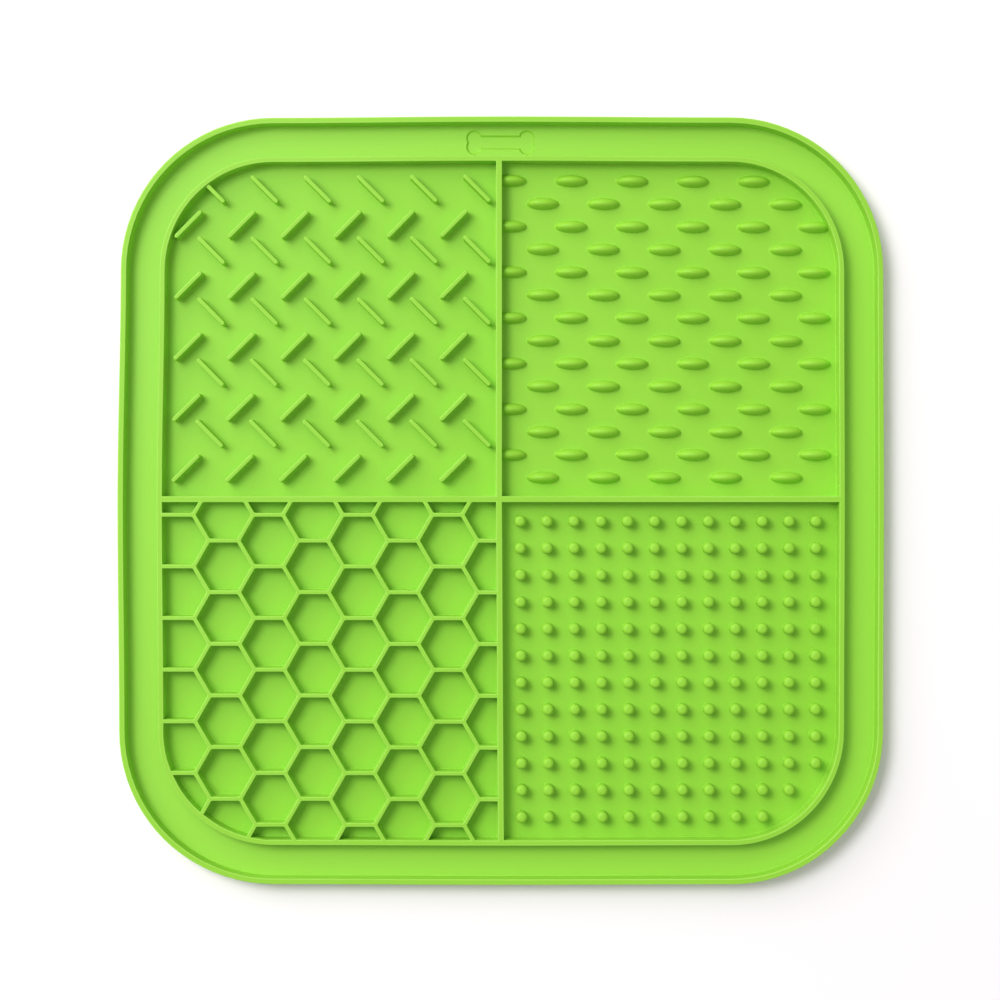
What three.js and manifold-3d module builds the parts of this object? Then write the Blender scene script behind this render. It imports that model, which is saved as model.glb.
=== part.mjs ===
// A square silicone lick mat for pets, moulded in one piece with four different relief fields.
// Millimetres, +Z up. The origin is on the flat underside, below the middle of the mat.
// +X is to the right and +Y is towards the edge with the bone.

import * as THREE from 'three';
import { mergeVertices } from 'three/addons/utils/BufferGeometryUtils.js';
import Module from 'manifold-3d';

const wasm = await Module();
wasm.setup();

// The whole mat
const MAT_WIDTH = 200;
const MAT_DEPTH = 200.5;
const CORNER_RADIUS = 40;
const FLOOR = 2;
const TOP = 7;
const ROOT = 1;
const CLEAR_ABOVE = 9;

// Lip, moat, inner wall and the cross of dividers
const LIP_WIDTH = 1.5;
const MOAT_WIDTH = 8.7;
const WALL_WIDTH = 1.45;
const DIVIDER_WIDTH = 1.6;
const DIVIDER_X = -0.45;
const DIVIDER_Y = 0.38;

// How far each side draws in from its middle to its two ends, at its low and high coordinate
const DRAW_IN = {
  left: { low: 0.45, high: 0.86 },
  right: { low: 0.24, high: 0.2 },
  top: { low: 0.38, high: 0.26 },
  bottom: { low: 0.2, high: 0.14 },
};
const FRONT_LEAN = 0.5;

// Fins of the herringbone field, left and back
const FIN_LENGTH = 9.8;
const FIN_WIDTH = 1.1;
const FIN_TOP = FLOOR + 4.5;
const FIN_PITCH = { x: 14, y: 16 };
const FIN_COLUMNS = 6;
const FIN_ROWS = 5;
const RISING_FIN_START = { x: -82.33, y: 72.47 };
const FALLING_FIN_START = { x: -76.26, y: 81.6 };

// Long bumps, right and back
const BUMP_LENGTH = 8.4;
const BUMP_WIDTH = 3;
const BUMP_HEIGHT = 3;
const BUMP_PITCH = { x: 16, y: 6 };
const BUMP_ROWS = 14;
const BUMP_START = { x: 2.55, y: 84.07 };
const ODD_ROW_SHIFT = 8.5;
const BUMPS_IN_EVEN_ROW = 6;
const BUMPS_IN_ODD_ROW = 5;

// Round nubs, right and front
const NUB_DIAMETER = 3;
const NUB_HEIGHT = 4.5;
const NUB_PITCH = 7.04;
const NUB_START = { x: 5.05, y: -5.4 };
const NUBS_PER_SIDE = 12;

// Honeycomb, left and front
const CELL_PITCH = 13.5;
const RIB_WIDTH = 1.08;
const FIRST_CELL = { x: -84.09, y: 3.05 };
const CELL_COLUMNS = 8;
const CELLS_IN_COLUMN = 8;

// Bone sunk into the moat's floor
const BONE = { x: -0.15, y: 94.4, length: 18.2, shaftWidth: 3.4, lobeRadius: 2.2, lobeOffset: 1.3, depth: 0.4 };

// Smoothness of the facets
const CORNER_STEPS = 12;
const SIDE_STEPS = 6;
const FIN_END_STEPS = 3;
const BUMP_SIDES = 8;
const NUB_SIDES = 6;
const LOBE_STEPS = 6;

// Where the corners begin along each side, and half of each side
const HALF = { x: MAT_WIDTH / 2, y: MAT_DEPTH / 2 };
const CORNER_START = HALF.x - CORNER_RADIUS;
const WALL_INSET = LIP_WIDTH + MOAT_WIDTH;
const FIELD_INSET = WALL_INSET + WALL_WIDTH;
const FIELD_HALF = HALF.x - FIELD_INSET;

// 0 in the middle of a side and 1 from where the corner begins, without a kink
function easeToCorner(along) {
  const t = Math.min(Math.abs(along) / CORNER_START, 1);
  return t * t * (3 - 2 * t);
}

// Where a point of the mould comes to lie on the soft mat: the sides draw in towards the
// corners, and the front half leans a little to the right.
function settle(x, y) {
  const sideX = x < 0 ? DRAW_IN.left : DRAW_IN.right;
  const sideY = y < 0 ? DRAW_IN.bottom : DRAW_IN.top;
  const drawX = (y < 0 ? sideX.low : sideX.high) * easeToCorner(y) * Math.abs(x / HALF.x);
  const drawY = (x < 0 ? sideY.low : sideY.high) * easeToCorner(x) * Math.abs(y / HALF.y);
  const held = Math.min(Math.abs(x) / FIELD_HALF, 1) ** 4;
  const lean = FRONT_LEAN * Math.max(-y / FIELD_HALF, 0) * (1 - held);
  return new THREE.Vector2(x - Math.sign(x) * drawX + lean, y - Math.sign(y) * drawY);
}

// Points of the mat's rounded outline, moved in by inset, with steps along the sides too
function outline(inset) {
  const radius = CORNER_RADIUS - inset;
  const reachX = HALF.x - CORNER_RADIUS;
  const reachY = HALF.y - CORNER_RADIUS;
  const corners = [
    { x: reachX, y: reachY, from: 0 },
    { x: -reachX, y: reachY, from: 1 },
    { x: -reachX, y: -reachY, from: 2 },
    { x: reachX, y: -reachY, from: 3 },
  ];
  const points = [];
  corners.forEach((corner, index) => {
    for (let step = 0; step <= CORNER_STEPS; step++) {
      const angle = ((corner.from + step / CORNER_STEPS) * Math.PI) / 2;
      points.push([corner.x + radius * Math.cos(angle), corner.y + radius * Math.sin(angle)]);
    }
    const next = corners[(index + 1) % corners.length];
    const turn = ((corner.from + 1) * Math.PI) / 2;
    for (let step = 1; step < SIDE_STEPS; step++) {
      const t = step / SIDE_STEPS;
      const x = corner.x + (next.x - corner.x) * t + radius * Math.cos(turn);
      const y = corner.y + (next.y - corner.y) * t + radius * Math.sin(turn);
      points.push([x, y]);
    }
  });
  return points;
}

// Corner points of an upright rectangle
function rectangle(left, bottom, right, top) {
  return [[left, bottom], [right, bottom], [right, top], [left, top]];
}

// A solid from a closed geometry, with its shared vertices merged and its slivers at poles left out
function solidOf(geometry) {
  const bare = geometry.clone();
  bare.deleteAttribute('normal');
  bare.deleteAttribute('uv');
  const merged = mergeVertices(bare, 1e-4);
  const corners = [];
  for (let i = 0; i < merged.index.count; i += 3) {
    const [a, b, c] = [merged.index.getX(i), merged.index.getX(i + 1), merged.index.getX(i + 2)];
    if (a !== b && b !== c && c !== a) {
      corners.push(a, b, c);
    }
  }
  const vertProperties = new Float32Array(merged.attributes.position.array);
  return new wasm.Manifold(new wasm.Mesh({ numProp: 3, vertProperties, triVerts: new Uint32Array(corners) }));
}

// An upright solid over a settled outline, with an optional hole of the same height
function prism(points, low, high, hole) {
  const settled = (list) => list.map(([x, y]) => settle(x, y));
  const shape = new THREE.Shape(settled(points));
  if (hole) {
    shape.holes.push(new THREE.Path(settled(hole)));
  }
  const geometry = new THREE.ExtrudeGeometry(shape, { depth: high - low, bevelEnabled: false });
  return solidOf(geometry.translate(0, 0, low));
}

// One solid from many that don't touch each other or that simply overlap
function join(solids) {
  return wasm.Manifold.union(solids);
}

// The cross of dividers, which runs past the inner wall and above it: one divider along X and
// one along Y, with a bend where the front half begins to lean
function dividers() {
  const half = DIVIDER_WIDTH / 2;
  const along = [-HALF.y, 0, HALF.y];
  const left = along.map((y) => [DIVIDER_X - half, y]);
  const right = along.map((y) => [DIVIDER_X + half, y]);
  const upright = prism(right.concat(left.reverse()), ROOT, CLEAR_ABOVE);
  const level = prism(rectangle(-HALF.x, DIVIDER_Y - half, HALF.x, DIVIDER_Y + half), ROOT, CLEAR_ABOVE);
  return upright.add(level);
}

// Floor, lip, inner wall, dividers and honeycomb ribs: a block with the moat, three open fields
// and the honeycomb's cells sunk to the floor
function tray() {
  const block = prism(outline(0), 0, TOP);
  const moat = prism(outline(LIP_WIDTH), FLOOR, CLEAR_ABOVE - 1, outline(WALL_INSET));
  const inside = prism(outline(FIELD_INSET), FLOOR, CLEAR_ABOVE - 1);
  const fields = inside.subtract(dividers()).subtract(honeycomb());
  return block.subtract(moat).subtract(fields);
}

// The field on one side of the dividers, from their middles to the middle of the inner wall
function quarter(signX, signY) {
  const edgeX = signX * HALF.x;
  const edgeY = signY * HALF.y;
  const low = [Math.min(edgeX, DIVIDER_X), Math.min(edgeY, DIVIDER_Y)];
  const high = [Math.max(edgeX, DIVIDER_X), Math.max(edgeY, DIVIDER_Y)];
  const room = prism(outline(FIELD_INSET - WALL_WIDTH / 2), 0, TOP);
  return room.intersect(prism(rectangle(...low, ...high), 0, TOP));
}

// One fin with round ends, turned by the given angle
function fin(x, y, angle) {
  const straight = (FIN_LENGTH - FIN_WIDTH) / 2;
  const points = [];
  for (const end of [0, 1]) {
    for (let step = 0; step <= FIN_END_STEPS; step++) {
      const around = (end + step / FIN_END_STEPS - 0.5) * Math.PI;
      const along = (end ? -straight : straight) + (FIN_WIDTH / 2) * Math.cos(around);
      const across = (FIN_WIDTH / 2) * Math.sin(around);
      points.push([
        x + along * Math.cos(angle) - across * Math.sin(angle),
        y + along * Math.sin(angle) + across * Math.cos(angle),
      ]);
    }
  }
  return prism(points, ROOT, FIN_TOP);
}

// Rising and falling fins in turn, as a herringbone that the round corner cuts off
function fins() {
  const list = [];
  for (let row = 0; row < FIN_ROWS; row++) {
    for (let column = 0; column < FIN_COLUMNS; column++) {
      const right = column * FIN_PITCH.x;
      const down = row * FIN_PITCH.y;
      list.push(fin(RISING_FIN_START.x + right, RISING_FIN_START.y - down, Math.PI / 4));
      list.push(fin(FALLING_FIN_START.x + right, FALLING_FIN_START.y - down, -Math.PI / 4));
    }
  }
  return join(list).intersect(quarter(-1, 1));
}

// A round-topped solid on the floor: rings of a unit profile, stretched to a length, width and height
function dome(x, y, length, width, height, rings, sides) {
  const profile = [new THREE.Vector2(0, (ROOT - FLOOR) / height), new THREE.Vector2(1, (ROOT - FLOOR) / height)];
  rings.forEach(([radius, level]) => profile.push(new THREE.Vector2(radius, level)));
  profile.push(new THREE.Vector2(0, 1));
  const geometry = new THREE.LatheGeometry(profile, sides);
  geometry.rotateX(Math.PI / 2);
  const place = settle(x, y);
  geometry.scale(length / 2, width / 2, height);
  return solidOf(geometry.translate(place.x, place.y, FLOOR));
}

// Long bumps in rows that step sideways in turn. The divider cuts the first bump of every even
// row, and the first row's last bump gives way to the round corner.
function bumps() {
  const rings = [[1, 0], [0.78, 0.66]];
  const list = [];
  for (let row = 0; row < BUMP_ROWS; row++) {
    const odd = row % 2 === 1;
    const shift = odd ? ODD_ROW_SHIFT : 0;
    const lostInCorner = row === 0 ? 1 : 0;
    const count = (odd ? BUMPS_IN_ODD_ROW : BUMPS_IN_EVEN_ROW) - lostInCorner;
    for (let column = 0; column < count; column++) {
      const x = BUMP_START.x + shift + column * BUMP_PITCH.x;
      const y = BUMP_START.y - row * BUMP_PITCH.y;
      list.push(dome(x, y, BUMP_LENGTH, BUMP_WIDTH, BUMP_HEIGHT, rings, BUMP_SIDES));
    }
  }
  return join(list).intersect(quarter(1, 1));
}

// Round nubs in a square grid, without the three that the round corner leaves no room for
function nubs() {
  const rings = [[0.97, 0.76]];
  const last = NUBS_PER_SIDE - 1;
  const list = [];
  for (let row = 0; row <= last; row++) {
    for (let column = 0; column <= last; column++) {
      if (row + column <= 2 * last - 2) {
        const x = NUB_START.x + column * NUB_PITCH;
        const y = NUB_START.y - row * NUB_PITCH;
        list.push(dome(x, y, NUB_DIAMETER, NUB_DIAMETER, NUB_HEIGHT, rings, NUB_SIDES));
      }
    }
  }
  return join(list);
}

// Six corners of one honeycomb cell between its ribs, with two sides along X
function cell(x, y) {
  const radius = (CELL_PITCH - RIB_WIDTH) / Math.sqrt(3);
  return [0, 1, 2, 3, 4, 5].map((corner) => {
    const angle = (corner * Math.PI) / 3;
    return [x + radius * Math.cos(angle), y + radius * Math.sin(angle)];
  });
}

// Ribs of the honeycomb over the whole left front quarter, as high as they are ever cut
function honeycomb() {
  const columnPitch = (CELL_PITCH * Math.sqrt(3)) / 2;
  const cells = [];
  for (let column = 0; column < CELL_COLUMNS; column++) {
    const drop = column % 2 === 1 ? CELL_PITCH / 2 : 0;
    for (let row = 0; row < CELLS_IN_COLUMN; row++) {
      const x = FIRST_CELL.x + column * columnPitch;
      const y = FIRST_CELL.y - drop - row * CELL_PITCH;
      cells.push(prism(cell(x, y), 0, CLEAR_ABOVE + 1));
    }
  }
  const plate = prism(rectangle(-HALF.x, -HALF.y, DIVIDER_X, DIVIDER_Y), ROOT, CLEAR_ABOVE);
  return plate.subtract(join(cells));
}

// Outline of the bone: a shaft with two round lobes at each end
function boneOutline() {
  const { length, shaftWidth, lobeRadius, lobeOffset } = BONE;
  const lobeX = length / 2 - lobeRadius;
  const shaftAngle = Math.asin((shaftWidth / 2 - lobeOffset) / lobeRadius);
  const notchAngle = Math.asin(lobeOffset / lobeRadius);
  const points = [];
  for (const end of [1, -1]) {
    for (const lobe of [1, -1]) {
      const from = lobe > 0 ? Math.PI - shaftAngle : notchAngle;
      const to = lobe > 0 ? -notchAngle : shaftAngle - Math.PI;
      for (let step = lobe > 0 ? 0 : 1; step <= LOBE_STEPS; step++) {
        const angle = from + ((to - from) * step) / LOBE_STEPS;
        const x = lobeX + lobeRadius * Math.cos(angle);
        const y = lobe * lobeOffset + lobeRadius * Math.sin(angle);
        points.push([BONE.x + end * x, BONE.y + end * y]);
      }
    }
  }
  return points;
}

// The mat as one solid
function mat() {
  const relief = join([tray(), fins(), bumps(), nubs()]);
  return relief.subtract(prism(boneOutline(), FLOOR - BONE.depth, FLOOR + 1));
}

// A three.js mesh with its own material from a finished solid
function meshOf(solid, name, material) {
  const { vertProperties, triVerts } = solid.getMesh();
  const geometry = new THREE.BufferGeometry();
  geometry.setAttribute('position', new THREE.BufferAttribute(vertProperties, 3));
  geometry.setIndex(new THREE.BufferAttribute(triVerts, 1));
  geometry.computeVertexNormals();
  const mesh = new THREE.Mesh(geometry, material);
  mesh.name = name;
  return mesh;
}

const silicone = new THREE.MeshStandardMaterial({ color: 0x9be34a, roughness: 0.6, metalness: 0 });

const group = new THREE.Group();
group.name = 'lick_mat';
group.add(meshOf(mat(), 'mat', silicone));

export default group;
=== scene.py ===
# A square silicone lick mat, moulded in one piece, seen from straight above on a pale table.
# Metres, +Z up, the same frame as the solids: the middle of the flat underside is the origin.

import math

import bmesh
import bpy
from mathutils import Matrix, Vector


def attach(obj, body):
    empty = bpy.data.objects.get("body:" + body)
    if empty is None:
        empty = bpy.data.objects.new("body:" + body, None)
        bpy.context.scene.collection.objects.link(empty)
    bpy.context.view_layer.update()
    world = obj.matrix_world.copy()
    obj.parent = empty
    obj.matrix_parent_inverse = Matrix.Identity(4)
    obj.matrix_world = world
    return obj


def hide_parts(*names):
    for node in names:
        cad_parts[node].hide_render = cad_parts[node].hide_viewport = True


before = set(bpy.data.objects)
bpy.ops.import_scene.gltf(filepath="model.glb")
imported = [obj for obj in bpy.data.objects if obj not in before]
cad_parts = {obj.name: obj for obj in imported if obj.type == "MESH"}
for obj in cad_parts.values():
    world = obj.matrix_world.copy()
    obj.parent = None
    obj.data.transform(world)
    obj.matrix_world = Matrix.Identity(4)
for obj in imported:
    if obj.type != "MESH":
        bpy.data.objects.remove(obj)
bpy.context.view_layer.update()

MM = 0.001

# Mat
HALF_WIDTH = 100 * MM
HALF_DEPTH = 100.25 * MM
CORNER_RADIUS = 40 * MM
FLOOR = 2 * MM
TOP = 7 * MM
CORNER_STEPS = 20
SIDE_CUTS = 11

# Lip, channel, inner wall and the cross of dividers
LIP_WIDTH = 1.5 * MM
CHANNEL_WIDTH = 8.7 * MM
WALL_WIDTH = 1.45 * MM
WALL_INSET = LIP_WIDTH + CHANNEL_WIDTH
FIELD_INSET = WALL_INSET + WALL_WIDTH
FIELD_HALF = HALF_WIDTH - FIELD_INSET
DIVIDER = {"x": -0.45 * MM, "y": 0.38 * MM, "half": 0.8 * MM}
TOP_ROUNDING = 0.22 * MM
BASE_FILLET = 0.3 * MM
UNDERSIDE_ROUNDING = 0.4 * MM
UNDERSIDE_STEPS = 3
ROUND_STEPS = 4

# How far above the surface each cutter starts
CUT_ABOVE = 1 * MM

# Painted highlight lines along the top edges: how wide they are on top and how far they reach down
# the rounded edge
EDGE_BAND = 0.2 * MM
EDGE_DEPTH = 0.7 * TOP_ROUNDING
TOP_TOLERANCE = 0.001 * MM

# Honeycomb, left and front
CELL_PITCH = 13.5 * MM
RIB_WIDTH = 1.08 * MM
FIRST_CELL = (-84.09 * MM, 3.05 * MM)
CELL_COLUMNS = 8
CELLS_IN_COLUMN = 8
CELL_CORNER = 0.62 * MM
CELL_CORNER_STEPS = 3
HEXAGON_ANGLE = 2 * math.pi / 3
ANGLE_TOLERANCE = 0.1
SHORTEST_EDGE = 1.1 * MM

# Fins, left and back
FIN = {"length": 9.8 * MM, "width": 1.1 * MM, "height": 4.5 * MM}
FIN_ROUNDING = 0.22 * MM
FIN_ROUND_STEPS = 3
FIN_END_STEPS = 6
FIN_TURN = math.pi / 4
FIN_EDGE_BAND = 0.12 * MM
FIN_EDGE_DEPTH = 0.5 * FIN_ROUNDING
FIN_PITCH = (14 * MM, 16 * MM)
FIN_COLUMNS = 6
FIN_ROWS = 5
RISING_FIN = (-82.33 * MM, 72.47 * MM)
FALLING_FIN = (-76.26 * MM, 81.6 * MM)
FIN_MEETS_WALL = (-77.84 * MM, 83.18 * MM)
WALL_CORNER_CENTRE = (-60 * MM, 60.25 * MM)

# The two roundings of a fin's end stop just short of each other, and are then welded
FIN_END_GAP = 0.02 * BASE_FILLET
FIN_WELD = 0.05 * MM

# Long bumps, right and back; the turns of their rings in degrees
BUMP = {"length": 8.4 * MM, "width": 3 * MM, "height": 3 * MM}
BUMP_TURNS = (16, 32, 46, 59, 71, 82)
BUMP_SIDES = 20
BUMP_PITCH = (16 * MM, 6 * MM)
FIRST_BUMP = (2.55 * MM, 84.07 * MM)
ODD_ROW_SHIFT = 8.5 * MM
EVEN_ROW_BUMPS = 6
ODD_ROW_BUMPS = 5
ROW_PAIRS = 7
NO_BUMP_BEYOND = (78 * MM, 80 * MM)

# Round nubs, right and front; the turns of the crown's rings in degrees
NUB = {"radius": 1.5 * MM, "height": 4.5 * MM, "crown": 0.95 * MM, "fillet": 0.12 * MM}
NUB_TURNS = (0, 25, 48, 68)
NUB_SIDES = 14
NUB_PITCH = 7.04 * MM
FIRST_NUB = (5.05 * MM, -5.4 * MM)
NUBS_PER_SIDE = 12

# Bone sunk into the channel
BONE = {"x": -0.1 * MM, "y": 94.2 * MM, "length": 18.3 * MM, "shaft": 3.9 * MM}
BONE_LOBE = {"radius": 2.2 * MM, "offset": 1.15 * MM, "sides": 24}
BONE_WELD = 0.2 * MM

# How far in and how far down each ring of the bone's sloping side goes
BONE_EDGE = ((0.08 * MM, 0.02 * MM), (0.42 * MM, 0.6 * MM), (0.14 * MM, 0.04 * MM))

# Foot of each small shape: how deep it stands in the floor, and the turns of its fillet
ROOT = FLOOR - 0.4 * MM
FILLET_TURNS = (math.pi / 12, math.pi / 5, math.pi / 3)

# How far each side draws in from its middle to its two ends, at its low and high coordinate
DRAW_IN = {
    "left": (0.45 * MM, 0.86 * MM),
    "right": (0.24 * MM, 0.2 * MM),
    "back": (0.38 * MM, 0.26 * MM),
    "front": (0.2 * MM, 0.14 * MM),
}
DRAW_LENGTH = 60 * MM

# How far the front half leans to the right, less and less towards the walls at its sides
FRONT_LEAN = 0.5 * MM
LEAN_FADE = 4

# Shading: smooth across edges below this angle, with the large faces leading
SMOOTH_BELOW = math.radians(35)
NORMAL_WEIGHT = 60

# Colours
LIME_DEEP = (0.25, 0.58, 0.031, 1)
LIME_PALE = (0.28, 0.61, 0.041, 1)
# Painted highlight for the lines along the top edges
LIME_EDGE_HIGHLIGHT = (0.355, 0.71, 0.10, 1)
# Channel floor painted lighter: painted light
LIME_CHANNEL_LIGHT = (0.30, 0.635, 0.052, 1)
# Upright walls painted lighter: painted light for the light the thin silicone lets through
LIME_WALL_LIGHT = (0.35, 0.70, 0.056, 1)
TABLE_DEEP = (0.945, 0.91, 0.922, 1)
TABLE_PALE = (0.965, 0.93, 0.942, 1)

# Surfaces: scales of grain and cloudiness, strength and depth of the relief, roughness
SILICONE = {"scales": (2400, 26), "relief": (0.12, 0.02 * MM), "roughness": (0.45, 0.56)}
TABLE = {"scales": (900, 9), "relief": (0.08, 0.02 * MM), "roughness": (0.8, 0.95)}
TABLE_SIZE = 4
GLOSS = 0.3
GRAIN_DETAIL = 3.0
CLOUD_DETAIL = 2.0
NOISE_ROUGHNESS = 0.55

# Lights: place, size, power, and whether they show as a gloss
LIGHTS = {
    "softbox": ((-0.45, 0.29, 1), 0.42, 6.8, True),
    "wide_light": ((-1.5, 1.5, 1.5), 2.6, 50, True),
    "overhead_fill": ((0.25, -0.1, 1.1), 0.7, 1.9, False),
}
WORLD_STRENGTH = 0.285

# Camera, straight above the mat
CAMERA_PLACE = (-0.196 * MM, 0.169 * MM)
CAMERA_ABOVE_TOP = 0.575
FRAME_WIDTH = 0.26076
SENSOR_WIDTH = 36


def work_on(piece):
    """Only this piece is selected and active."""
    if bpy.context.object and bpy.context.object.mode != "OBJECT":
        bpy.ops.object.mode_set(mode="OBJECT")
    bpy.ops.object.select_all(action="DESELECT")
    piece.select_set(True)
    bpy.context.view_layer.objects.active = piece


def named(name):
    """The active object, with its name, and its place and turn taken into its mesh."""
    piece = bpy.context.object
    piece.name = name
    piece.data.name = name
    work_on(piece)
    bpy.ops.object.transform_apply(location=True, rotation=True, scale=True)
    return piece


def edit(select="SELECT", kind="FACE"):
    """Edit mode for one kind of element, with all or nothing selected."""
    bpy.ops.object.mode_set(mode="EDIT")
    bpy.ops.mesh.select_mode(type=kind)
    bpy.ops.mesh.select_all(action=select)


def done():
    """Out of edit mode."""
    bpy.ops.object.mode_set(mode="OBJECT")


def pick_verts(piece, test):
    """In edit mode, selects the points that pass the test."""
    mesh = bmesh.from_edit_mesh(piece.data)
    for vert in mesh.verts:
        vert.select_set(test(vert))
    mesh.select_flush(True)
    bmesh.update_edit_mesh(piece.data)


def pick_edges(piece, test):
    """In edit mode, selects the edges whose two ends pass the test."""
    mesh = bmesh.from_edit_mesh(piece.data)
    for edge in mesh.edges:
        edge.select_set(test(edge.verts[0].co, edge.verts[1].co))
    bmesh.update_edit_mesh(piece.data)


def pick_faces(piece, test):
    """In edit mode, selects the faces whose middle and normal pass the test."""
    mesh = bmesh.from_edit_mesh(piece.data)
    for face in mesh.faces:
        face.select_set(test(face.calc_center_median(), face.normal))
    bmesh.update_edit_mesh(piece.data)


def apply(piece, kind, **settings):
    """Adds a modifier, sets it and applies it."""
    work_on(piece)
    modifier = piece.modifiers.new(kind.lower(), kind)
    for key, value in settings.items():
        setattr(modifier, key, value)
    bpy.ops.object.modifier_apply(modifier=modifier.name)


def join(pieces):
    """One object from several."""
    work_on(pieces[0])
    for piece in pieces[1:]:
        piece.select_set(True)
    if len(pieces) > 1:
        bpy.ops.object.join()
    return pieces[0]


def cut(piece, cutter, operation="DIFFERENCE"):
    """Takes a cutter away from a piece, or adds it with another operation."""
    apply(piece, "BOOLEAN", object=cutter, operation=operation, solver="MANIFOLD")
    bpy.data.objects.remove(cutter)


def repeat(piece, count, step):
    """Copies of a piece in a row."""
    apply(
        piece,
        "ARRAY",
        count=count,
        use_relative_offset=False,
        use_constant_offset=True,
        constant_offset_displace=(step[0], step[1], 0),
    )


def grow(steps):
    """Insets and moves the selected faces along their normals, one ring after the other."""
    for inward, along in steps:
        bpy.ops.mesh.inset(thickness=inward, depth=along, use_even_offset=True)


def raise_by(height):
    """Extrudes what is selected straight up, or down for a negative height."""
    bpy.ops.mesh.extrude_region_move(TRANSFORM_OT_translate={"value": (0, 0, height)})


def over_the_edge(radius, steps=ROUND_STEPS):
    """Rings of a rounded edge that starts flat and ends upright."""
    turns = [math.pi / 2 * step / steps for step in range(steps + 1)]
    return [
        (radius * (math.sin(b) - math.sin(a)), radius * (math.cos(a) - math.cos(b)))
        for a, b in zip(turns, turns[1:])
    ]


def round_to_flat(radius, steps=ROUND_STEPS):
    """Rings of a rounded edge that starts upright and ends flat."""
    return [(inward, along) for along, inward in over_the_edge(radius, steps)]


def rounded_square(name, inset, level):
    """A flat face with the mat's outline, moved in by inset, and with cuts along its sides."""
    bpy.ops.object.select_all(action="DESELECT")
    half = (HALF_WIDTH - inset, HALF_DEPTH - inset)
    bpy.ops.mesh.primitive_plane_add(size=2, location=(0, 0, level))
    bpy.context.object.scale = (half[0], half[1], 1)
    piece = named(name)
    radius = CORNER_RADIUS - inset
    edit(kind="VERT")
    bpy.ops.mesh.bevel(offset=radius, segments=CORNER_STEPS, affect="VERTICES")
    bpy.ops.mesh.select_all(action="SELECT")
    bpy.ops.mesh.delete(type="ONLY_FACE")
    pick_edges(piece, lambda a, b: (a - b).length > radius / 2)
    bpy.ops.mesh.subdivide(number_cuts=SIDE_CUTS)
    bpy.ops.mesh.select_all(action="SELECT")
    bpy.ops.mesh.edge_face_add()
    done()
    return piece


def sink(piece):
    """Makes a cutter from flat faces above the mat: down over the rounded top edge to the floor."""
    work_on(piece)
    edit(select="DESELECT")
    pick_faces(piece, lambda middle, normal: normal.z > 0)
    bpy.ops.mesh.flip_normals()
    bpy.ops.mesh.select_all(action="SELECT")
    raise_by(-CUT_ABOVE)
    grow(over_the_edge(TOP_ROUNDING))
    raise_by(-(TOP - FLOOR - TOP_ROUNDING - BASE_FILLET))
    grow(round_to_flat(BASE_FILLET))
    bpy.ops.mesh.select_all(action="SELECT")
    bpy.ops.mesh.normals_make_consistent(inside=False)
    done()
    return piece


def channel_cutter():
    """The ring between the lip and the inner wall."""
    outer = rounded_square("channel_cutter", LIP_WIDTH - TOP_ROUNDING, TOP + CUT_ABOVE)
    inner = rounded_square("channel_hole", WALL_INSET + TOP_ROUNDING, TOP + CUT_ABOVE)
    ring = join([outer, inner])
    edit()
    bpy.ops.mesh.delete(type="ONLY_FACE")
    bpy.ops.mesh.select_all(action="SELECT")
    bpy.ops.mesh.bridge_edge_loops()
    done()
    return sink(ring)


def trim(place, away):
    """In edit mode, cuts all flat faces along a line and drops what lies beyond it."""
    bpy.ops.mesh.select_all(action="SELECT")
    bpy.ops.mesh.bisect(plane_co=place, plane_no=away, clear_outer=True)


def keep_side(side, line, axis):
    """In edit mode, cuts all flat faces across the axis and keeps the given side."""
    place = [0, 0, 0]
    place[axis] = line
    away = [0, 0, 0]
    away[axis] = -side
    trim(place, away)


def field_cutter(name, side_x, side_y):
    """One open quarter inside the wall, beside the dividers."""
    piece = rounded_square(name, FIELD_INSET - TOP_ROUNDING, TOP + CUT_ABOVE)
    away = DIVIDER["half"] - TOP_ROUNDING
    edit(kind="EDGE")
    keep_side(side_x, DIVIDER["x"] + side_x * away, 0)
    keep_side(side_y, DIVIDER["y"] + side_y * away, 1)
    bpy.ops.mesh.select_all(action="SELECT")
    bpy.ops.mesh.delete(type="ONLY_FACE")
    pick_edges(piece, lambda a, b: (a - b).length > FIELD_HALF / 2)
    bpy.ops.mesh.subdivide(number_cuts=SIDE_CUTS)
    bpy.ops.mesh.select_all(action="SELECT")
    bpy.ops.mesh.edge_face_add()
    done()
    return sink(piece)


def round_corners(piece):
    """In edit mode, rounds the corners that the flat faces have from their hexagons."""
    bpy.ops.mesh.select_mode(type="VERT")

    def from_hexagon(vert):
        angles = [loop.calc_angle() for loop in vert.link_loops]
        return any(abs(angle - HEXAGON_ANGLE) < ANGLE_TOLERANCE for angle in angles)

    pick_verts(piece, from_hexagon)
    bpy.ops.mesh.bevel(
        offset=CELL_CORNER / math.tan(HEXAGON_ANGLE / 2),
        segments=CELL_CORNER_STEPS,
        affect="VERTICES",
    )


def open_to_wall(cells):
    """In edit mode, squares the first column, whose corners would end just short of the wall."""
    wall = FIELD_INSET - HALF_WIDTH
    pick_edges(cells, lambda a, b: max(a.x, b.x) < wall + RIB_WIDTH)
    bpy.ops.transform.resize(value=(0, 1, 1), center_override=(FIRST_CELL[0] - CELL_PITCH, 0, 0))


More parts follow.
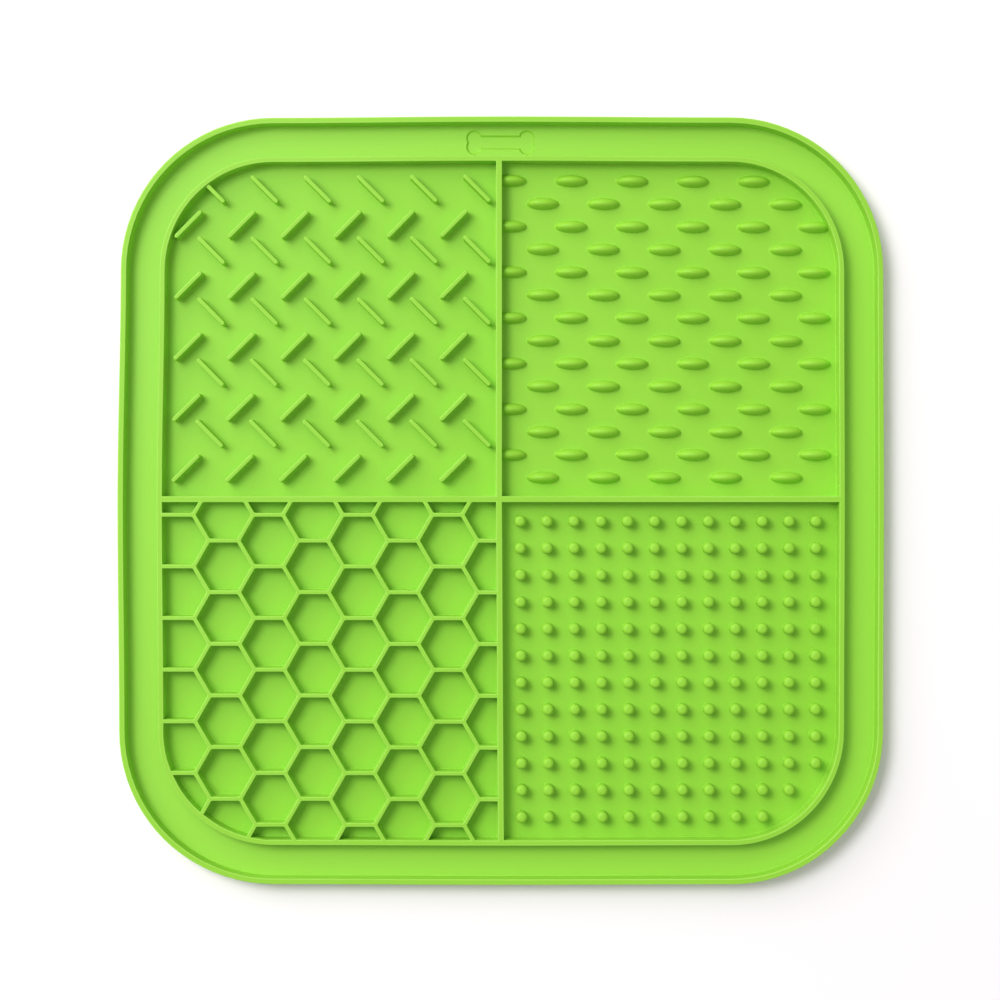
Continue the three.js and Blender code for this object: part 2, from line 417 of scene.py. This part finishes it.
def cell_cutters():
    """Hexagons of the honeycomb, cut off at the dividers, the wall and its round corner."""
    column_pitch = CELL_PITCH * math.sqrt(3) / 2
    columns = []
    for odd in (0, 1):
        bpy.ops.object.select_all(action="DESELECT")
        bpy.ops.mesh.primitive_circle_add(
            vertices=6,
            radius=(CELL_PITCH - RIB_WIDTH + 2 * TOP_ROUNDING) / math.sqrt(3),
            fill_type="NGON",
            location=(
                FIRST_CELL[0] + odd * column_pitch,
                FIRST_CELL[1] - odd * CELL_PITCH / 2,
                TOP + CUT_ABOVE,
            ),
            rotation=(0, 0, math.pi / 6),
        )
        cells = named("cell_cutters")
        repeat(cells, CELL_COLUMNS // 2, (2 * column_pitch, 0))
        repeat(cells, CELLS_IN_COLUMN, (0, -CELL_PITCH))
        columns.append(cells)
    cells = join(columns)
    edit(kind="EDGE")
    open_to_wall(cells)
    near = DIVIDER["half"] - TOP_ROUNDING
    far = (HALF_WIDTH - FIELD_INSET + TOP_ROUNDING, HALF_DEPTH - FIELD_INSET + TOP_ROUNDING)
    keep_side(-1, DIVIDER["x"] - near, 0)
    keep_side(-1, DIVIDER["y"] - near, 1)
    keep_side(1, -far[0], 0)
    keep_side(1, -far[1], 1)
    radius = CORNER_RADIUS - FIELD_INSET + TOP_ROUNDING
    centre = Vector((CORNER_RADIUS - HALF_WIDTH, CORNER_RADIUS - HALF_DEPTH, 0))
    for step in range(1, CORNER_STEPS):
        turn = math.pi + math.pi / 2 * step / CORNER_STEPS
        away = Vector((math.cos(turn), math.sin(turn), 0))
        trim(centre + away * radius, away)
    bpy.ops.mesh.select_all(action="DESELECT")
    pick_edges(cells, lambda a, b: (a - b).length < SHORTEST_EDGE)
    bpy.ops.mesh.merge(type="COLLAPSE")
    round_corners(cells)
    done()
    return sink(cells)


def bone_cutter():
    """Shallow recess in the channel: a shaft with two round lobes at each end and sloping sides."""
    bpy.ops.object.select_all(action="DESELECT")
    bpy.ops.mesh.primitive_cube_add(size=1, location=(BONE["x"], BONE["y"], FLOOR + CUT_ABOVE / 2))
    reach = BONE["length"] / 2 - BONE_LOBE["radius"]
    bpy.context.object.scale = (2 * reach, BONE["shaft"], CUT_ABOVE)
    bone = named("bone_cutter")
    for end in (-1, 1):
        for side in (-1, 1):
            bpy.ops.object.select_all(action="DESELECT")
            bpy.ops.mesh.primitive_cylinder_add(
                vertices=BONE_LOBE["sides"],
                radius=BONE_LOBE["radius"],
                depth=CUT_ABOVE,
                location=(
                    BONE["x"] + end * reach,
                    BONE["y"] + side * BONE_LOBE["offset"],
                    FLOOR + CUT_ABOVE / 2,
                ),
            )
            cut(bone, named("lobe"), "UNION")
    work_on(bone)
    edit()
    bpy.ops.mesh.remove_doubles(threshold=BONE_WELD)
    pick_faces(bone, lambda middle, normal: normal.z < -0.5)
    bpy.ops.mesh.dissolve_faces()
    grow(BONE_EDGE)
    done()
    return bone


def tray():
    """Floor, lip, inner wall, dividers and honeycomb ribs in one."""
    piece = rounded_square("tray", 0, 0)
    edit(select="DESELECT")
    pick_faces(piece, lambda middle, normal: normal.z < 0)
    bpy.ops.mesh.flip_normals()
    bpy.ops.mesh.select_all(action="SELECT")
    raise_by(TOP - TOP_ROUNDING)
    grow(round_to_flat(TOP_ROUNDING))
    bpy.ops.mesh.select_all(action="SELECT")
    bpy.ops.mesh.normals_make_consistent(inside=False)
    pick_edges(piece, lambda a, b: max(a.z, b.z) < FLOOR / 2)
    bpy.ops.mesh.bevel(offset=UNDERSIDE_ROUNDING, segments=UNDERSIDE_STEPS, affect="EDGES")
    done()
    cutters = [
        channel_cutter(),
        field_cutter("fin_field", -1, 1),
        field_cutter("bump_field", 1, 1),
        field_cutter("nub_field", 1, -1),
        cell_cutters(),
    ]
    cut(piece, join(cutters))
    cut(piece, bone_cutter())
    # The edge attribute places the painted highlight along the top edges
    mark_edges(piece, TOP - EDGE_DEPTH, EDGE_BAND)
    # Marks the channel floor, which gets painted light
    keep(piece, "channel", in_channel)
    return piece


def mark_edges(piece, low, band):
    """Keeps 1 in the attribute "edge" for the points along the top's edge, down to the level
    low, and 0 for lower points and for those further in than the band."""
    work_on(piece)
    edit(select="DESELECT")
    top = max(vert.co.z for vert in piece.data.vertices)
    pick_faces(piece, lambda middle, normal: middle.z > top - TOP_TOLERANCE and normal.z > 0)
    bpy.ops.mesh.quads_convert_to_tris(ngon_method="BEAUTY")
    bpy.ops.mesh.inset(thickness=band, depth=0, use_even_offset=True)
    bpy.ops.mesh.delete(type="FACE")
    bpy.ops.mesh.select_mode(type="EDGE")
    bpy.ops.mesh.select_non_manifold()
    bpy.ops.mesh.fill(use_beauty=True)
    done()
    keep(piece, "edge", lambda vert: vert.co.z > low and not vert.select)


def keep(piece, name, value_of):
    """Keeps a value for every point of a piece in an attribute."""
    kept = piece.data.attributes.new(name, "FLOAT", "POINT")
    for vert, value in zip(piece.data.vertices, kept.data):
        value.value = value_of(vert)


def in_channel(vert):
    """Whether a low point lies outside the inner wall, as the channel's floor does."""
    out = (
        abs(vert.co.x) - HALF_WIDTH + CORNER_RADIUS,
        abs(vert.co.y) - HALF_DEPTH + CORNER_RADIUS,
    )
    beyond = math.hypot(max(out[0], 0), max(out[1], 0)) + min(max(out), 0)
    outside = beyond > CORNER_RADIUS - WALL_INSET - TOP_ROUNDING
    return outside and vert.co.z < FLOOR + 2 * BASE_FILLET


def fins():
    """Thin upright blades in a herringbone: rising and falling ones in turn."""
    made = []
    for name, start, turn in (("rising", RISING_FIN, 1), ("falling", FALLING_FIN, -1)):
        bpy.ops.object.select_all(action="DESELECT")
        bpy.ops.mesh.primitive_plane_add(size=2, location=(0, 0, ROOT))
        bpy.context.object.scale = (
            FIN["length"] / 2 + BASE_FILLET,
            FIN["width"] / 2 + BASE_FILLET,
            1,
        )
        fin = named("fins_" + name)
        edit(kind="VERT")
        bpy.ops.mesh.bevel(
            offset=FIN["width"] / 2 + BASE_FILLET - FIN_END_GAP,
            segments=FIN_END_STEPS,
            affect="VERTICES",
        )
        bpy.ops.mesh.select_all(action="SELECT")
        bpy.ops.mesh.remove_doubles(threshold=FIN_WELD)
        raise_by(FLOOR - ROOT)
        grow(over_the_edge(BASE_FILLET))
        raise_by(FIN["height"] - BASE_FILLET - FIN_ROUNDING)
        grow(round_to_flat(FIN_ROUNDING, FIN_ROUND_STEPS))
        bpy.ops.mesh.select_all(action="SELECT")
        bpy.ops.mesh.normals_make_consistent(inside=False)
        done()
        # The edge attribute places the painted highlight along the fin tops
        mark_edges(fin, FLOOR + FIN["height"] - FIN_EDGE_DEPTH, FIN_EDGE_BAND)
        fin.rotation_euler = (0, 0, turn * FIN_TURN)
        fin.location = (start[0], start[1], 0)
        named("fins_" + name)
        repeat(fin, FIN_COLUMNS, (FIN_PITCH[0], 0))
        repeat(fin, FIN_ROWS, (0, -FIN_PITCH[1]))
        made.append(fin)
    stop_at_wall(made[1])
    return join(made)


def stop_at_wall(falling):
    """The corner's falling fin ends inside the wall."""
    edit(kind="VERT", select="DESELECT")
    reach = (FIN["length"] + FIN["width"]) / 2 + BASE_FILLET
    pick_verts(falling, lambda vert: (vert.co.xy - Vector(FALLING_FIN)).length < reach)
    away = (Vector(FIN_MEETS_WALL) - Vector(WALL_CORNER_CENTRE)).to_3d()
    bpy.ops.mesh.bisect(
        plane_co=(FIN_MEETS_WALL[0], FIN_MEETS_WALL[1], 0),
        plane_no=away.normalized(),
        clear_outer=True,
        use_fill=True,
    )
    done()


def rings(sizes):
    """Stacks rings on the selected face: half length, half width and level of each."""
    for (length, width, level), (next_length, next_width, next_level) in zip(sizes, sizes[1:]):
        raise_by(next_level - level)
        bpy.ops.transform.resize(
            value=(next_length / length, next_width / width, 1),
            center_override=(0, 0, 0),
        )


def foot(half_length, half_width, fillet):
    """Rings from inside the floor up round the fillet at a small shape's foot."""
    sizes = [(half_length + fillet, half_width + fillet, ROOT)]
    sizes.append((half_length + fillet, half_width + fillet, FLOOR))
    for turn in FILLET_TURNS:
        out = fillet * (1 - math.sin(turn))
        sizes.append((half_length + out, half_width + out, FLOOR + fillet * (1 - math.cos(turn))))
    return sizes


def bumps():
    """Long rounded bumps in rows that step sideways in turn."""
    half_length = BUMP["length"] / 2
    half_width = BUMP["width"] / 2
    sizes = foot(half_length, half_width, BASE_FILLET)
    for degrees in BUMP_TURNS:
        turn = math.radians(degrees)
        sizes.append(
            (
                half_length * math.cos(turn),
                half_width * math.cos(turn),
                FLOOR + BUMP["height"] * math.sin(turn),
            )
        )
    made = []
    for name, shift, columns, row in (
        ("even", 0, EVEN_ROW_BUMPS, 0),
        ("odd", ODD_ROW_SHIFT, ODD_ROW_BUMPS, 1),
    ):
        bump = round_shape("bumps_" + name, BUMP_SIDES, sizes)
        bump.location = (FIRST_BUMP[0] + shift, FIRST_BUMP[1] - row * BUMP_PITCH[1], 0)
        named("bumps_" + name)
        repeat(bump, columns, (BUMP_PITCH[0], 0))
        repeat(bump, ROW_PAIRS, (0, -2 * BUMP_PITCH[1]))
        made.append(bump)
    work_on(made[0])
    edit(kind="VERT", select="DESELECT")
    limit = NO_BUMP_BEYOND
    drop_where(made[0], lambda place: place.x > limit[0] and place.y > limit[1])
    bpy.ops.mesh.select_all(action="SELECT")
    bpy.ops.mesh.bisect(
        plane_co=(DIVIDER["x"], 0, 0), plane_no=(-1, 0, 0), clear_outer=True, use_fill=True
    )
    done()
    return join(made)


def round_shape(name, sides, sizes):
    """One rounded shape at the middle of the mat, from rings."""
    bpy.ops.object.select_all(action="DESELECT")
    bpy.ops.mesh.primitive_circle_add(
        vertices=sides, radius=1, fill_type="NGON", location=(0, 0, sizes[0][2])
    )
    bpy.context.object.scale = (sizes[0][0], sizes[0][1], 1)
    piece = named(name)
    edit()
    rings(sizes)
    bpy.ops.mesh.select_all(action="SELECT")
    bpy.ops.mesh.normals_make_consistent(inside=False)
    done()
    return piece


def drop_where(piece, test):
    """In edit mode, deletes what stands where the test says."""
    pick_verts(piece, lambda vert: test(vert.co))
    bpy.ops.mesh.delete(type="VERT")


def nubs():
    """Round nubs in a square grid, without the three that the round corner leaves no room for."""
    radius = NUB["radius"]
    sizes = foot(radius, radius, NUB["fillet"])
    sizes.append((radius, radius, FLOOR + NUB["fillet"]))
    crown_start = FLOOR + NUB["height"] - NUB["crown"]
    for degrees in NUB_TURNS:
        turn = math.radians(degrees)
        sizes.append(
            (
                radius * math.cos(turn),
                radius * math.cos(turn),
                crown_start + NUB["crown"] * math.sin(turn),
            )
        )
    nub = round_shape("nubs", NUB_SIDES, sizes)
    nub.location = (FIRST_NUB[0], FIRST_NUB[1], 0)
    named("nubs")
    repeat(nub, NUBS_PER_SIDE, (NUB_PITCH, 0))
    repeat(nub, NUBS_PER_SIDE, (0, -NUB_PITCH))
    work_on(nub)
    edit(kind="VERT", select="DESELECT")
    # The three nubs within one step of the corner's tip
    tip = FIRST_NUB[0] - FIRST_NUB[1] + 2 * (NUBS_PER_SIDE - 1) * NUB_PITCH
    drop_where(nub, lambda place: place.x - place.y > tip - 1.5 * NUB_PITCH)
    done()
    return nub


def ease(along):
    """0 in the middle of a side and 1 from where the corner begins, without a kink."""
    part = min(abs(along) / DRAW_LENGTH, 1)
    return part * part * (3 - 2 * part)


def settle(piece):
    """Moves every point to where it lies on the soft mat: the sides draw in towards the
    corners, and the front half leans a little to the right."""
    for vert in piece.data.vertices:
        x, y = vert.co.x, vert.co.y
        side_x = DRAW_IN["left" if x < 0 else "right"][0 if y < 0 else 1]
        side_y = DRAW_IN["front" if y < 0 else "back"][0 if x < 0 else 1]
        draw_x = side_x * ease(y) * x / HALF_WIDTH
        draw_y = side_y * ease(x) * y / HALF_WIDTH
        held = min(abs(x) / FIELD_HALF, 1) ** LEAN_FADE
        lean = FRONT_LEAN * max(-y / FIELD_HALF, 0) * (1 - held)
        vert.co.x = x - draw_x + lean
        vert.co.y = y - draw_y


def group_of(name, inputs, outputs):
    """An empty node group with its inputs, each with a value, and its outputs."""
    group = bpy.data.node_groups.new(name, "ShaderNodeTree")
    for label, kind, value in inputs:
        socket = group.interface.new_socket(label, in_out="INPUT", socket_type=kind)
        socket.default_value = value
    for label, kind in outputs:
        group.interface.new_socket(label, in_out="OUTPUT", socket_type=kind)
    return group, group.nodes.new("NodeGroupInput"), group.nodes.new("NodeGroupOutput")


def fine_grain():
    """Fine grain and slow cloudiness, both from 0 to 1, by the place on the piece."""
    group, start, end = group_of(
        "fine_grain",
        [("Grain Scale", "NodeSocketFloat", 1.0), ("Cloud Scale", "NodeSocketFloat", 1.0)],
        [("Grain", "NodeSocketFloat"), ("Cloud", "NodeSocketFloat")],
    )
    place = group.nodes.new("ShaderNodeTexCoord")
    for result, detail in (("Grain", GRAIN_DETAIL), ("Cloud", CLOUD_DETAIL)):
        noise = group.nodes.new("ShaderNodeTexNoise")
        noise.inputs["Detail"].default_value = detail
        noise.inputs["Roughness"].default_value = NOISE_ROUGHNESS
        group.links.new(place.outputs["Object"], noise.inputs["Vector"])
        group.links.new(start.outputs[result + " Scale"], noise.inputs["Scale"])
        group.links.new(noise.outputs["Fac"], end.inputs[result])
    return group


def grained(name, grain, surface):
    """A material with the fine grain in its relief and the cloudiness in its roughness."""
    material = bpy.data.materials.new(name)
    material.use_nodes = True
    tree = material.node_tree
    shader = tree.nodes["Principled BSDF"]
    shader.inputs["Specular IOR Level"].default_value = GLOSS
    pattern = tree.nodes.new("ShaderNodeGroup")
    pattern.node_tree = grain
    pattern.inputs["Grain Scale"].default_value = surface["scales"][0]
    pattern.inputs["Cloud Scale"].default_value = surface["scales"][1]
    relief = tree.nodes.new("ShaderNodeBump")
    relief.inputs["Strength"].default_value = surface["relief"][0]
    relief.inputs["Distance"].default_value = surface["relief"][1]
    tree.links.new(pattern.outputs["Grain"], relief.inputs["Height"])
    tree.links.new(relief.outputs["Normal"], shader.inputs["Normal"])
    matte = tree.nodes.new("ShaderNodeMapRange")
    matte.inputs["To Min"].default_value = surface["roughness"][0]
    matte.inputs["To Max"].default_value = surface["roughness"][1]
    tree.links.new(pattern.outputs["Cloud"], matte.inputs["Value"])
    tree.links.new(matte.outputs["Result"], shader.inputs["Roughness"])
    return material, tree, shader, pattern


def blend(tree, factor, first, second):
    """A mix of two colours; a colour is a value or another node's output."""
    mix = tree.nodes.new("ShaderNodeMix")
    mix.data_type = "RGBA"
    tree.links.new(factor, mix.inputs["Factor"])
    for label, colour in (("A", first), ("B", second)):
        socket = next(slot for slot in mix.inputs if slot.name == label and slot.type == "RGBA")
        if isinstance(colour, tuple):
            socket.default_value = colour
        else:
            tree.links.new(colour, socket)
    return next(slot for slot in mix.outputs if slot.type == "RGBA")


def kept_value(tree, name):
    """The output with a piece's kept value."""
    kept = tree.nodes.new("ShaderNodeAttribute")
    kept.attribute_name = name
    return kept.outputs["Fac"]


def silicone(grain):
    """Matte lime silicone: a fine moulded grain and a faint cloudiness, with painted highlight
    lines along the top edges, and painted light on the channel floor and on the upright walls."""
    material, tree, shader, pattern = grained("lime_silicone", grain, SILICONE)
    plain = blend(tree, pattern.outputs["Cloud"], LIME_DEEP, LIME_PALE)
    # Channel floor painted lighter, as painted light
    channel_lit = blend(tree, kept_value(tree, "channel"), plain, LIME_CHANNEL_LIGHT)
    # Upright faces painted lighter, standing in for light through the thin silicone
    body = blend(tree, kept_value(tree, "steep"), channel_lit, LIME_WALL_LIGHT)
    # Painted highlight along the top edges, patchy with the cloudiness
    edge_highlight = tree.nodes.new("ShaderNodeMath")
    edge_highlight.operation = "MULTIPLY"
    tree.links.new(kept_value(tree, "edge"), edge_highlight.inputs[0])
    tree.links.new(pattern.outputs["Cloud"], edge_highlight.inputs[1])
    tree.links.new(blend(tree, edge_highlight.outputs[0], body, LIME_EDGE_HIGHLIGHT), shader.inputs["Base Color"])
    return material


def table(grain):
    """Plain pale floor under the mat."""
    bpy.ops.object.select_all(action="DESELECT")
    bpy.ops.mesh.primitive_plane_add(size=TABLE_SIZE, location=(0, 0, 0))
    piece = named("table")
    material, tree, shader, pattern = grained("pale_table", grain, TABLE)
    paint = blend(tree, pattern.outputs["Cloud"], TABLE_DEEP, TABLE_PALE)
    tree.links.new(paint, shader.inputs["Base Color"])
    piece.data.materials.append(material)


def soft_light(name, place, size, power, glossy):
    """A square soft light that looks at the mat."""
    light = bpy.data.lights.new(name, "AREA")
    light.size = size
    light.energy = power
    box = bpy.data.objects.new(name, light)
    bpy.context.collection.objects.link(box)
    box.location = place
    box.rotation_euler = (-box.location).to_track_quat("-Z", "Y").to_euler()
    box.visible_glossy = glossy


def lights_and_camera():
    """A softbox high at the back left, a wide low one behind it, even fill, and a camera
    straight above."""
    for name, settings in LIGHTS.items():
        soft_light(name, *settings)
    world = bpy.data.worlds.new("studio")
    world.use_nodes = True
    world.node_tree.nodes["Background"].inputs["Color"].default_value = (1, 1, 1, 1)
    world.node_tree.nodes["Background"].inputs["Strength"].default_value = WORLD_STRENGTH
    bpy.context.scene.world = world
    bpy.context.scene.view_settings.view_transform = "Standard"
    camera = bpy.data.cameras.new("camera")
    seat = bpy.data.objects.new("camera", camera)
    bpy.context.collection.objects.link(seat)
    camera.sensor_width = SENSOR_WIDTH
    camera.lens = SENSOR_WIDTH * CAMERA_ABOVE_TOP / FRAME_WIDTH
    seat.location = (CAMERA_PLACE[0], CAMERA_PLACE[1], TOP + CAMERA_ABOVE_TOP)
    bpy.context.scene.camera = seat


def finish_piece(piece, material):
    """Gives a piece its place on the soft mat, smooth shading, material and frame."""
    # Steepness places the painted light on the upright walls
    keep(piece, "steep", lambda vert: 1 - abs(vert.normal.z))
    settle(piece)
    work_on(piece)
    bpy.ops.object.shade_smooth_by_angle(angle=SMOOTH_BELOW)
    apply(piece, "WEIGHTED_NORMAL", weight=NORMAL_WEIGHT, keep_sharp=True)
    piece.data.materials.clear()
    piece.data.materials.append(material)
    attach(piece, "root")
    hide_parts("mat")


grain = fine_grain()
lime = silicone(grain)
for made in (tray(), fins(), bumps(), nubs()):
    finish_piece(made, lime)
table(grain)
lights_and_camera()
